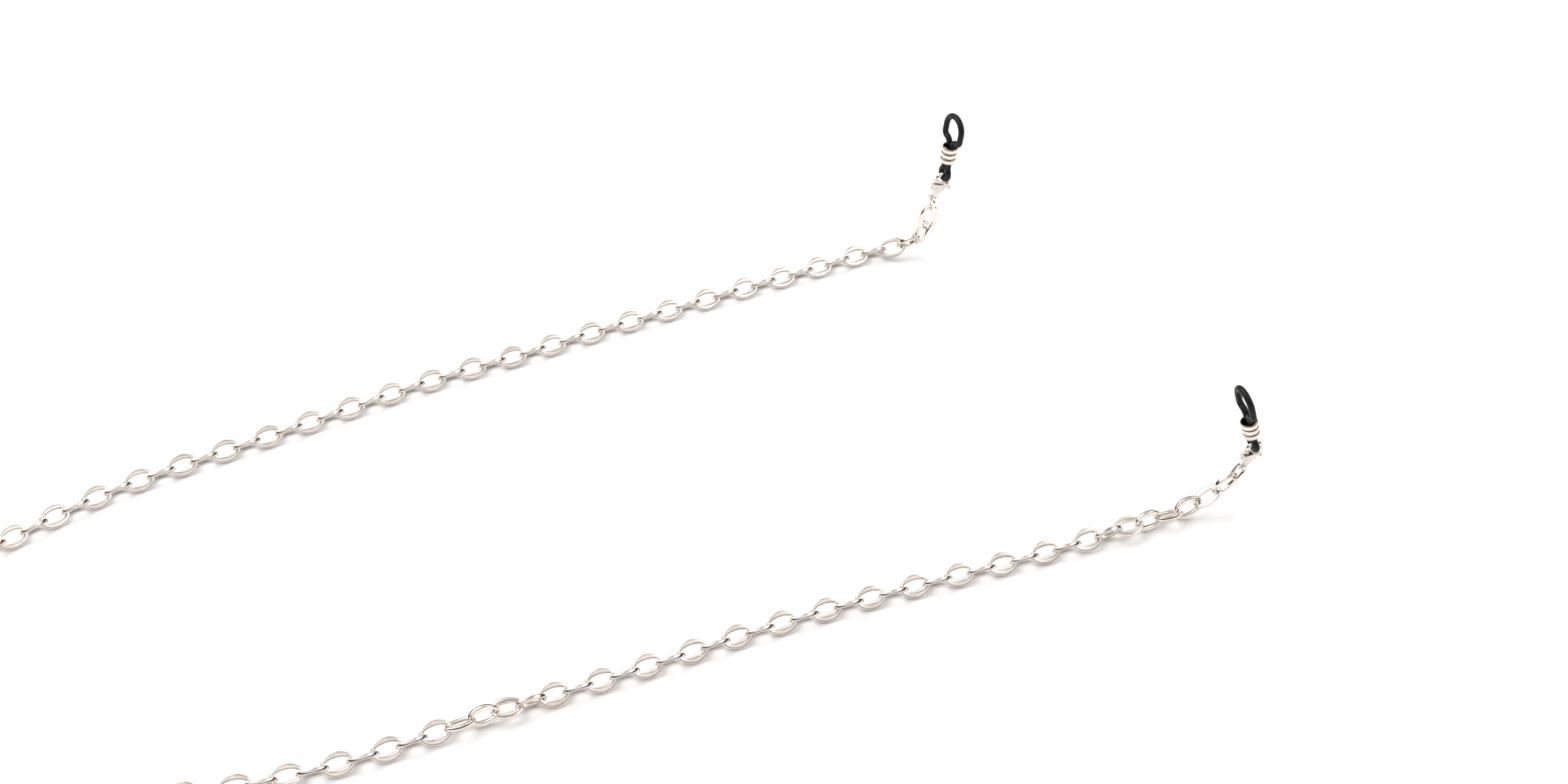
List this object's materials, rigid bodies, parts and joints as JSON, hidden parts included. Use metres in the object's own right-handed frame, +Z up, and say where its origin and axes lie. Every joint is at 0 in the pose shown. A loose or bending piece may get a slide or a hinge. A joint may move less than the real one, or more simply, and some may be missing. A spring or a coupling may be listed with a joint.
{
  "type": "eyeglasses chain strap",
  "caption": "Oval-link metal chain strap with lobster clasps, ringed barrel beads and black rubber loops that grip the temples of a pair of glasses.",
  "frame": {"origin": "centre of the opening of the left temple loop, where the wearer's left temple arm passes", "axes": "+X along the strap's length towards the glasses, +Y to the wearer's left, +Z up"},
  "size_m": [0.3241, 0.1419, 0.0473],
  "materials": {
    "chain_metal": "polished warm-silver plating",
    "clasp_metal": "polished warm-silver plating",
    "bead_metal": "polished silver with darkened grooves",
    "spring_steel": "bright spring steel",
    "black_rubber": "satin black rubber cord"
  },
  "bodies": {
    "left_loop": {"left_rubber_loop": "black_rubber"},
    "left_bead": {"left_barrel_bead": "bead_metal"},
    "left_clasp": {"left_clasp_body": "clasp_metal", "left_clasp_rivet": "clasp_metal", "left_lever_spring": "spring_steel"},
    "left_lever": {"left_clasp_lever": "clasp_metal"},
    "left_ring": {"left_jump_ring": "chain_metal"},
    "chain_01": {"chain_segment_01": "chain_metal"},
    "chain_02": {"chain_segment_02": "chain_metal"},
    "chain_03": {"chain_segment_03": "chain_metal"},
    "chain_04": {"chain_segment_04": "chain_metal"},
    "chain_05": {"chain_segment_05": "chain_metal"},
    "chain_06": {"chain_segment_06": "chain_metal"},
    "chain_07": {"chain_segment_07": "chain_metal"},
    "chain_08": {"chain_segment_08": "chain_metal"},
    "chain_09": {"chain_segment_09": "chain_metal"},
    "chain_10": {"chain_segment_10": "chain_metal"},
    "chain_11": {"chain_segment_11": "chain_metal"},
    "chain_12": {"chain_segment_12": "chain_metal"},
    "chain_13": {"chain_segment_13": "chain_metal"},
    "chain_14": {"chain_segment_14": "chain_metal"},
    "chain_15": {"chain_segment_15": "chain_metal"},
    "chain_16": {"chain_segment_16": "chain_metal"},
    "chain_17": {"chain_segment_17": "chain_metal"},
    "chain_18": {"chain_segment_18": "chain_metal"},
    "chain_19": {"chain_segment_19": "chain_metal"},
    "chain_20": {"chain_segment_20": "chain_metal"},
    "chain_21": {"chain_segment_21": "chain_metal"},
    "chain_22": {"chain_segment_22": "chain_metal"},
    "chain_23": {"chain_segment_23": "chain_metal"},
    "chain_24": {"chain_segment_24": "chain_metal"},
    "chain_25": {"chain_segment_25": "chain_metal"},
    "chain_26": {"chain_segment_26": "chain_metal"},
    "chain_27": {"chain_segment_27": "chain_metal"},
    "chain_28": {"chain_segment_28": "chain_metal"},
    "chain_29": {"chain_segment_29": "chain_metal"},
    "chain_30": {"chain_segment_30": "chain_metal"},
    "chain_31": {"chain_segment_31": "chain_metal"},
    "chain_32": {"chain_segment_32": "chain_metal"},
    "chain_33": {"chain_segment_33": "chain_metal"},
    "chain_34": {"chain_segment_34": "chain_metal"},
    "chain_35": {"chain_segment_35": "chain_metal"},
    "chain_36": {"chain_segment_36": "chain_metal"},
    "chain_37": {"chain_segment_37": "chain_metal"},
    "chain_38": {"chain_segment_38": "chain_metal"},
    "chain_39": {"chain_segment_39": "chain_metal"},
    "chain_40": {"chain_segment_40": "chain_metal"},
    "chain_41": {"chain_segment_41": "chain_metal"},
    "chain_42": {"chain_segment_42": "chain_metal"},
    "right_loop": {"right_rubber_loop": "black_rubber"},
    "right_bead": {"right_barrel_bead": "bead_metal"},
    "right_clasp": {"right_clasp_body": "clasp_metal", "right_clasp_rivet": "clasp_metal", "right_lever_spring": "spring_steel"},
    "right_lever": {"right_clasp_lever": "clasp_metal"},
    "right_ring": {"right_jump_ring": "chain_metal"}
  },
  "joints": [
    {"name": "left_bead_slide", "type": "slide", "parent": "left_loop", "child": "left_bead", "axis": [0.1258, -0.0515, 0.9907], "range_m": [-0.0008, 0.0003]},
    {"name": "left_clasp_swing", "type": "hinge", "parent": "left_loop", "child": "left_clasp", "pos_m": [-0.00184, 0.00075, -0.01446], "axis": [0.991, 0.0519, -0.1232], "range_deg": [-45, 45]},
    {"name": "left_lever_pivot", "type": "hinge", "parent": "left_clasp", "child": "left_lever", "pos_m": [-0.00431, 0.00145, -0.01849], "axis": [0.1651, 0.9839, 0.0681], "range_deg": [0, 18], "stiffness_Nm_per_rad": 0.003, "springref_deg": -11.46},
    {"name": "left_ring_swing", "type": "hinge", "parent": "left_clasp", "child": "left_ring", "pos_m": [-0.00463, 0.00173, -0.02207], "axis": [-0.1651, -0.9839, -0.0681], "range_deg": [-45, 45]},
    {"name": "chain_joint_01", "type": "hinge", "parent": "left_ring", "child": "chain_01", "pos_m": [-0.0052, 0.00149, -0.02612], "axis": [0.1462, 0.9861, -0.0794], "range_deg": [-45, 45]},
    {"name": "chain_joint_02", "type": "hinge", "parent": "chain_01", "child": "chain_02", "pos_m": [-0.00623, 0.00144, -0.03043], "axis": [0.1778, 0.9402, 0.2906], "range_deg": [-60, 60]},
    {"name": "chain_joint_03", "type": "hinge", "parent": "chain_02", "child": "chain_03", "pos_m": [-0.01671, 0.00911, -0.04086], "axis": [0.1419, 0.7188, 0.6806], "range_deg": [-60, 60]},
    {"name": "chain_joint_04", "type": "hinge", "parent": "chain_03", "child": "chain_04", "pos_m": [-0.03351, 0.00939, -0.04085], "axis": [0.01, -0.7071, 0.7071], "range_deg": [-60, 60]},
    {"name": "chain_joint_05", "type": "hinge", "parent": "chain_04", "child": "chain_05", "pos_m": [-0.04945, 0.00945, -0.04087], "axis": [0.0031, 0.7071, -0.7071], "range_deg": [-60, 60]},
    {"name": "chain_joint_06", "type": "hinge", "parent": "chain_05", "child": "chain_06", "pos_m": [-0.06654, 0.00943, -0.04084], "axis": [0.0094, -0.707, -0.7071], "range_deg": [-60, 60]},
    {"name": "chain_joint_07", "type": "hinge", "parent": "chain_06", "child": "chain_07", "pos_m": [-0.08477, 0.00931, -0.04085], "axis": [0.0004, 0.7071, 0.7071], "range_deg": [-60, 60]},
    {"name": "chain_joint_08", "type": "hinge", "parent": "chain_07", "child": "chain_08", "pos_m": [-0.10186, 0.0093, -0.04085], "axis": [0.0061, -0.7071, 0.7071], "range_deg": [-60, 60]},
    {"name": "chain_joint_09", "type": "hinge", "parent": "chain_08", "child": "chain_09", "pos_m": [-0.11779, 0.00882, -0.04085], "axis": [-0.0133, 0.707, -0.7071], "range_deg": [-60, 60]},
    {"name": "chain_joint_10", "type": "hinge", "parent": "chain_09", "child": "chain_10", "pos_m": [-0.13488, 0.00874, -0.04085], "axis": [-0.0034, -0.7071, -0.7071], "range_deg": [-60, 60]},
    {"name": "chain_joint_11", "type": "hinge", "parent": "chain_10", "child": "chain_11", "pos_m": [-0.15309, 0.00847, -0.04085], "axis": [-0.0265, 0.7066, 0.7071], "range_deg": [-60, 60]},
    {"name": "chain_joint_12", "type": "hinge", "parent": "chain_11", "child": "chain_12", "pos_m": [-0.17011, 0.00719, -0.04085], "axis": [0.0596, -0.7046, 0.7071], "range_deg": [-60, 60]},
    {"name": "chain_joint_13", "type": "hinge", "parent": "chain_12", "child": "chain_13", "pos_m": [-0.18601, 0.00583, -0.04085], "axis": [-0.0541, 0.705, -0.7071], "range_deg": [-60, 60]},
    {"name": "chain_joint_14", "type": "hinge", "parent": "chain_13", "child": "chain_14", "pos_m": [-0.20306, 0.00463, -0.04085], "axis": [0.0443, -0.7057, -0.7071], "range_deg": [-60, 60]},
    {"name": "chain_joint_15", "type": "hinge", "parent": "chain_14", "child": "chain_15", "pos_m": [-0.22125, 0.00342, -0.04085], "axis": [-0.0505, 0.7053, 0.7071], "range_deg": [-60, 60]},
    {"name": "chain_joint_16", "type": "hinge", "parent": "chain_15", "child": "chain_16", "pos_m": [-0.2382, 0.00146, -0.04085], "axis": [0.1004, -0.6999, 0.7071], "range_deg": [-60, 60]},
    {"name": "chain_joint_17", "type": "hinge", "parent": "chain_16", "child": "chain_17", "pos_m": [-0.25366, -0.00213, -0.04085], "axis": [-0.1964, 0.6793, -0.7071], "range_deg": [-60, 60]},
    {"name": "chain_joint_18", "type": "hinge", "parent": "chain_17", "child": "chain_18", "pos_m": [-0.27007, -0.00673, -0.04085], "axis": [0.2521, -0.6606, -0.7071], "range_deg": [-60, 60]},
    {"name": "chain_joint_19", "type": "hinge", "parent": "chain_18", "child": "chain_19", "pos_m": [-0.28615, -0.01493, -0.04085], "axis": [-0.3871, 0.5918, 0.7071], "range_deg": [-60, 60]},
    {"name": "chain_joint_20", "type": "hinge", "parent": "chain_19", "child": "chain_20", "pos_m": [-0.29753, -0.02733, -0.04085], "axis": [0.5695, -0.4192, 0.7071], "range_deg": [-60, 60]},
    {"name": "chain_joint_21", "type": "hinge", "parent": "chain_20", "child": "chain_21", "pos_m": [-0.30351, -0.04178, -0.04085], "axis": [-0.6995, 0.1036, -0.7071], "range_deg": [-60, 60]},
    {"name": "chain_joint_22", "type": "hinge", "parent": "chain_21", "child": "chain_22", "pos_m": [-0.30411, -0.05859, -0.04085], "axis": [0.6894, 0.1575, -0.7071], "range_deg": [-60, 60]},
    {"name": "chain_joint_23", "type": "hinge", "parent": "chain_22", "child": "chain_23", "pos_m": [-0.29803, -0.07554, -0.04085], "axis": [-0.6322, -0.3168, 0.7071], "range_deg": [-60, 60]},
    {"name": "chain_joint_24", "type": "hinge", "parent": "chain_23", "child": "chain_24", "pos_m": [-0.28679, -0.08803, -0.04085], "axis": [0.4651, 0.5326, 0.7071], "range_deg": [-60, 60]},
    {"name": "chain_joint_25", "type": "hinge", "parent": "chain_24", "child": "chain_25", "pos_m": [-0.27306, -0.09578, -0.04085], "axis": [-0.281, -0.6489, -0.7071], "range_deg": [-60, 60]},
    {"name": "chain_joint_26", "type": "hinge", "parent": "chain_25", "child": "chain_26", "pos_m": [-0.25723, -0.10211, -0.04085], "axis": [0.2237, 0.6708, -0.7071], "range_deg": [-60, 60]},
    {"name": "chain_joint_27", "type": "hinge", "parent": "chain_26", "child": "chain_27", "pos_m": [-0.2398, -0.10736, -0.04085], "axis": [-0.181, -0.6836, 0.7071], "range_deg": [-60, 60]},
    {"name": "chain_joint_28", "type": "hinge", "parent": "chain_27", "child": "chain_28", "pos_m": [-0.22303, -0.11038, -0.0408], "axis": [0.1104, 0.6985, 0.7071], "range_deg": [-60, 60]},
    {"name": "chain_joint_29", "type": "hinge", "parent": "chain_28", "child": "chain_29", "pos_m": [-0.20723, -0.11181, -0.04081], "axis": [-0.0081, -0.7071, -0.7071], "range_deg": [-60, 60]},
    {"name": "chain_joint_30", "type": "hinge", "parent": "chain_29", "child": "chain_30", "pos_m": [-0.19017, -0.11193, -0.04045], "axis": [0.0337, 0.8906, -0.4536], "range_deg": [-60, 60]},
    {"name": "chain_joint_31", "type": "hinge", "parent": "chain_30", "child": "chain_31", "pos_m": [-0.17198, -0.11222, -0.04033], "axis": [-0.018, -0.9875, -0.1564], "range_deg": [-60, 60]},
    {"name": "chain_joint_32", "type": "hinge", "parent": "chain_31", "child": "chain_32", "pos_m": [-0.15494, -0.11273, -0.04084], "axis": [-0.0258, -0.7067, 0.7071], "range_deg": [-60, 60]},
    {"name": "chain_joint_33", "type": "hinge", "parent": "chain_32", "child": "chain_33", "pos_m": [-0.13902, -0.1133, -0.04074], "axis": [0.0017, 0.7071, -0.7071], "range_deg": [-60, 60]},
    {"name": "chain_joint_34", "type": "hinge", "parent": "chain_33", "child": "chain_34", "pos_m": [-0.12193, -0.11339, -0.04085], "axis": [0.0161, 0.7069, 0.7071], "range_deg": [-60, 60]},
    {"name": "chain_joint_35", "type": "hinge", "parent": "chain_34", "child": "chain_35", "pos_m": [-0.10372, -0.11399, -0.04085], "axis": [-0.0314, -0.7064, -0.7071], "range_deg": [-60, 60]},
    {"name": "chain_joint_36", "type": "hinge", "parent": "chain_35", "child": "chain_36", "pos_m": [-0.08668, -0.11517, -0.04086], "axis": [-0.0546, -0.705, 0.7071], "range_deg": [-60, 60]},
    {"name": "chain_joint_37", "type": "hinge", "parent": "chain_36", "child": "chain_37", "pos_m": [-0.07081, -0.11671, -0.04082], "axis": [0.0816, 0.7024, -0.7071], "range_deg": [-60, 60]},
    {"name": "chain_joint_38", "type": "hinge", "parent": "chain_37", "child": "chain_38", "pos_m": [-0.05382, -0.11852, -0.04075], "axis": [0.0689, 0.7038, 0.7071], "range_deg": [-60, 60]},
    {"name": "chain_joint_39", "type": "hinge", "parent": "chain_38", "child": "chain_39", "pos_m": [-0.03565, -0.12002, -0.0408], "axis": [-0.0496, -0.7054, -0.7071], "range_deg": [-60, 60]},
    {"name": "chain_joint_40", "type": "hinge", "parent": "chain_39", "child": "chain_40", "pos_m": [-0.01863, -0.12109, -0.04009], "axis": [-0.07, -0.4507, 0.8899], "range_deg": [-60, 60]},
    {"name": "chain_joint_41", "type": "hinge", "parent": "chain_40", "child": "chain_41", "pos_m": [-0.00295, -0.12147, -0.04088], "axis": [0.2529, -0.2837, -0.925], "range_deg": [-60, 60]},
    {"name": "chain_joint_42", "type": "hinge", "parent": "chain_41", "child": "chain_42", "pos_m": [0.00794, -0.12322, -0.0357], "axis": [-0.2072, -0.9772, -0.0455], "range_deg": [-60, 60]},
    {"name": "chain_joint_43", "type": "hinge", "parent": "chain_42", "child": "right_ring", "pos_m": [0.01092, -0.12424, -0.0324], "axis": [0.076, 0.9898, 0.1207], "range_deg": [-45, 45]},
    {"name": "right_ring_swing", "type": "hinge", "parent": "right_ring", "child": "right_clasp", "pos_m": [0.01301, -0.12482, -0.02892], "axis": [-0.1072, -0.9792, -0.1725], "range_deg": [-45, 45]},
    {"name": "right_lever_pivot", "type": "hinge", "parent": "right_clasp", "child": "right_lever", "pos_m": [0.01272, -0.1254, -0.0254], "axis": [0.1072, 0.9792, 0.1725], "range_deg": [0, 18], "stiffness_Nm_per_rad": 0.003, "springref_deg": -11.46},
    {"name": "right_clasp_swing", "type": "hinge", "parent": "right_clasp", "child": "right_loop", "pos_m": [0.014, -0.1263, -0.0211], "axis": [0.9592, -0.1008, 0.264], "range_deg": [-45, 45]},
    {"name": "right_bead_slide", "type": "slide", "parent": "right_loop", "child": "right_bead", "axis": [-0.2604, 0.0482, 0.9643], "range_m": [-0.0003, 0.0008]}
  ]
}
